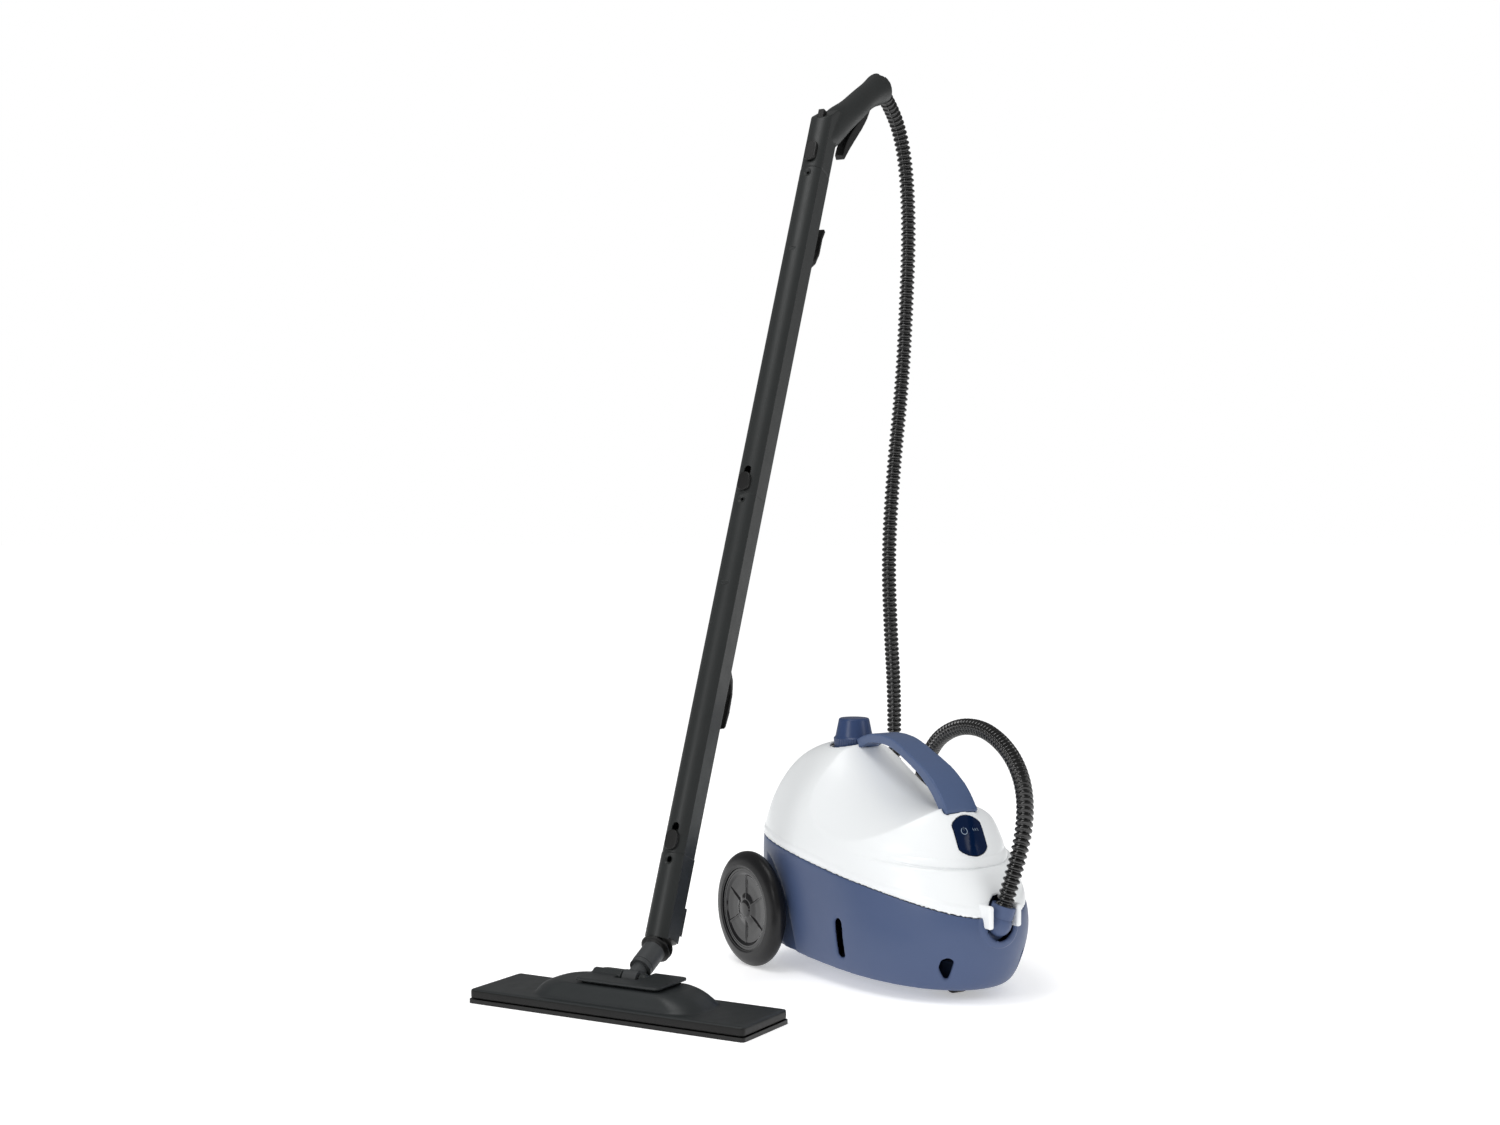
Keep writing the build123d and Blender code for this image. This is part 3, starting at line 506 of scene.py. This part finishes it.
def strip_on_lens(name, path, width, material):
    """Thin printed line raised a hair over the lens."""
    rows = []
    for before, here, after in zip(path[-1:] + path[:-1], path, path[1:] + path[:1]):
        along = (Vector(after) - Vector(before)).normalized() if before != after else Vector((1, 0))
        side = Vector((-along.y, along.x)) * width / 2
        rows.append((Vector(here) + side, Vector(here) - side))
    points = [lens_point(*side) for pair in rows for side in pair]
    return new_piece(name, points, grid_faces(len(path), 2, closed=False), material, "canister")


def ring(centre, radius, start, end, count=40):
    turns = [math.radians(start + (end - start) * k / count) for k in range(count + 1)]
    return [(centre[0] + radius * math.cos(t), centre[1] + radius * math.sin(t)) for t in turns]


strip_on_lens("power_ring", ring((-0.0075, 0.005), 0.0036, 115, 425), 0.0007, sign_grey)
strip_on_lens("power_tick", [(-0.0075, 0.0047), (-0.0075, 0.0065), (-0.0075, 0.0095)], 0.0007, sign_grey)
for index, (across, up) in enumerate([(0.0045, 0.0035), (0.0075, 0.0035), (0.0105, 0.0035)]):
    wave = [(across + 0.0006 * math.sin(k * 1.2), up + 0.0008 * k) for k in range(6)]
    strip_on_lens(f"steam_sign_{index + 1}", wave, 0.0006, sign_grey)

# ---------------------------------------------------------------- wheels
# Black moulded tyre with a broad rounded shoulder, on a glossy hub closed by a six-part star cap.
# The tyre is turned from one profile; the cap is a disc whose depth varies round it.
tyre_black = moulded("tyre_black", (0.006, 0.006, 0.007), 0.34, grain=700, edge=0, shine=0.35)
hub_black = moulded("hub_black", (0.003, 0.003, 0.004), 0.12, grain=300, depth=0.00001, edge=0, shine=0.55)
WHEEL_RADIUS = 0.065
WHEEL_WIDTH = 0.020
HUB_EDGE = 0.0465


def wheel_disc(columns, radii, depth, side, outer):
    """Disc facing outwards; depth gives how far each point stands back from the outer plane."""
    turn = np.linspace(0, 2 * math.pi, columns, endpoint=False)
    points = []
    for radius in radii:
        back = depth(radius, turn)
        points.append(np.stack([outer - side * back, AXLE.y + radius * np.sin(turn),
                                WHEEL_RADIUS + radius * np.cos(turn)], 1))
    return np.concatenate(points)


def star(radius, turn):
    """Hub cap: domed boss, six sunk panels between narrow ribs, and a raised outer lip."""
    panel = step(np.abs(np.sin(3 * turn)) / 3 * radius, 0.0004, 0.0011)
    field = step(radius, 0.0105, 0.012) * (1 - step(radius, 0.0385, 0.040))
    slope = 0.0018 * step(radius, 0.010, 0.020) - 0.0008 * step(radius, 0.028, 0.040)
    boss = -0.0022 * (1 - step(radius, 0.0085, 0.0100)) * (1 - 0.5 * (radius / 0.0095) ** 2)
    lip = -0.0008 * step(radius, 0.0400, 0.0410)
    return 0.0032 + slope * field * panel + boss + lip


for side_name, side in (("right", -1), ("left", 1)):
    tyre_low, tyre_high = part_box("tyre_" + side_name)
    outer = tyre_high.x if side > 0 else tyre_low.x
    profile = [(0, HUB_EDGE), (0, 0.0475), (-0.0008, 0.049), (-0.0002, 0.053), (0.0006, 0.057),
               (0.0022, 0.0605), (0.0048, 0.0634), (0.0078, 0.0648), (0.0100, WHEEL_RADIUS),
               (0.0125, 0.0648), (0.0158, 0.0632), (0.0185, 0.0600), (WHEEL_WIDTH, 0.0560),
               (WHEEL_WIDTH, HUB_EDGE), (0.006, HUB_EDGE), (0, HUB_EDGE)]
    profile = rounded([(back + 0.0008, radius) for back, radius in profile], 0.003, 3)
    turn = np.linspace(0, 2 * math.pi, 160, endpoint=False)
    points = [np.stack([np.full(160, outer - side * back), AXLE.y + radius * np.sin(turn),
                        WHEEL_RADIUS + radius * np.cos(turn)], 1) for back, radius in profile]
    tyre = new_piece("tread_" + side_name, np.concatenate(points), grid_faces(len(profile), 160), tyre_black,
                     "wheel_" + side_name)
    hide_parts("tyre_" + side_name)
    radii = [0.0001] + [0.0009 * k for k in range(1, 48)] + [0.0433]
    cover = new_piece("star_cap_" + side_name,
                      wheel_disc(180, radii, star, side, outer),
                      grid_faces(len(radii), 180), hub_black, "wheel_" + side_name)
    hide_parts("hub_cap_" + side_name)

# ---------------------------------------------------------------- grip
# Two satin grey mouldings screwed round the trigger; the hose enters at its round end.
# Trigger, latch buttons and cord hooks are black mouldings, remeshed from their CAD solids too.
wand_grey = moulded("wand_grey", (0.018, 0.020, 0.020), 0.42, edge=0.0012, drift=0.06, shine=0.35)
grip_grey = moulded("grip_grey", (0.018, 0.020, 0.020), 0.42, edge=0, drift=0.06, shine=0.35)
trim_black = moulded("trim_black", (0.006, 0.006, 0.006), 0.38, edge=0.0008, shine=0.35)
moulding("grip_shell", ["grip_left", "grip_right"], 0.0009, 6, grip_grey, "canister")
moulding("trigger_blade", ["trigger"], 0.0007, 4, trim_black, "trigger")
for name in ("latch_grip", "latch_upper", "latch_lower"):
    moulding(name + "_button", [name], 0.0005, 3, trim_black, name)
for name in ("hook_upper", "hook_lower"):
    moulding(name + "_bow", [name], 0.0007, 5, trim_black, "canister")

# ---------------------------------------------------------------- neck boot
# Soft black rubber boot with ring folds, stretched from the grey collar to the adapter's mouth.
# A tube along a bent line between the two, whose radius swells at each fold.
seal_black = moulded("seal_black", (0.004, 0.004, 0.004), 0.38, grain=700, edge=0, shine=0.4)
joints = {joint["name"]: joint for joint in frame["joints"]}
neck_axis = Vector(joints["neck_swivel"]["axis"])
wand_axis = Vector(joints["latch_upper_slide"]["axis"])
neck_pivot = Vector(joints["head_pitch"]["pos_m"])
wand_x = -Vector(joints["trigger_squeeze"]["axis"])
wand_back = wand_axis.cross(wand_x)
wand_foot = Vector(joints["trigger_squeeze"]["pos_m"]) - wand_back * 0.075 - wand_axis * 1.049
boot_start = neck_pivot + neck_axis * 0.0452
boot_end = wand_foot + wand_axis * 0.006
boot_line = [boot_start, boot_start + neck_axis * 0.008, boot_end - wand_axis * 0.010, boot_end]
boot_points, boot_stations = even_steps(smooth_line("boot_line", boot_line), 0.0004)
share = boot_stations / boot_stations[-1]
folds = 0.5 + 0.5 * np.cos((share - 0.17) * 2 * math.pi / 0.30)
boot_radii = 0.0118 + 0.0052 * folds ** 2.2 * step(share, 0.0, 0.08) * (1 - 0.6 * step(share, 0.88, 1.0))
boot = new_piece("neck_boot", tube_skin(boot_points, boot_radii, 48, tuple(wand_x)),
                 grid_faces(len(boot_points), 48), seal_black, "canister")
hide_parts("bellows")

# ---------------------------------------------------------------- floor head
# Broad grey cover moulded with a smooth hump, on a black sole that shows as a thin band.
# Both parts are remeshed from their CAD solids; the cover's low rim takes the black finish.
head_grey = moulded("head_grey", (0.020, 0.023, 0.024), 0.42, edge=0, drift=0.06, shine=0.35)
EDGE_BAND_TOP = 0.0132
trim_edge = moulded("trim_edge", (0.004, 0.004, 0.004), 0.45, edge=0, shine=0.3)
head_cover = moulding("head_cover", ["head_body"], 0.0011, 6, head_grey, "head")
head_cover.data.materials.append(trim_edge)
for polygon in head_cover.data.polygons:
    polygon.material_index = int(polygon.center.z < EDGE_BAND_TOP)
moulding("top_plate", ["head_plate"], 0.0008, 3, head_grey, "head")

# ---------------------------------------------------------------- finishes of the remaining parts
# Every CAD solid that still shows takes the finish of its record's material slot: plastics, rubber,
# a green circuit board, clear lamps, and drawn or pressed metal inside and at the axles.
collar_grey = moulded("collar_grey", (0.045, 0.048, 0.050), 0.45, edge=0.0008, shine=0.35)
board_green = moulded("board_green", (0.02, 0.12, 0.05), 0.5, edge=0.0003)
lamp_clear = moulded("lamp_clear", (0.6, 0.6, 0.55), 0.15, edge=0.0003)


def worked_metal(name, colour, roughness):
    """Drawn or pressed metal with fine brushed streaks."""
    finish = Finish(name, Metallic=1.0)
    streaks = finish.add("ShaderNodeMapping", None, {"Vector": finish.place(), "Scale": (1, 1, 14)})
    streak = finish.noise(160, 4, streaks)
    finish.tint(streak, shade(colour, 0.85), shade(colour, 1.1))
    finish.feed("Roughness", streak * 0.2 + (roughness - 0.1))
    finish.relief(streak, 0.00002)
    return finish.material


bright_steel = worked_metal("bright_steel", (0.60, 0.60, 0.58), 0.3)
pipe_brass = worked_metal("pipe_brass", (0.70, 0.50, 0.24), 0.3)

FINISHES = {
    "blue_casing": blue_casing, "white_casing": white_casing, "cap_blue": cap_blue, "lens_navy": lens_navy,
    "lamp": lamp_clear, "circuit_board": board_green, "steel": bright_steel, "brass": pipe_brass,
    "seal_rubber": seal_black, "tyre_black": tyre_black, "hub_black": hub_black, "hose_black": hose_black,
    "wand_grey": wand_grey, "trim_black": trim_black, "collar_grey": collar_grey,
}
for subpart in frame["record"]["subparts"]:
    node = frame["nodes"][subpart["node"]]
    node.data.materials.clear()
    node.data.materials.append(FINISHES[subpart["material_slot"]])
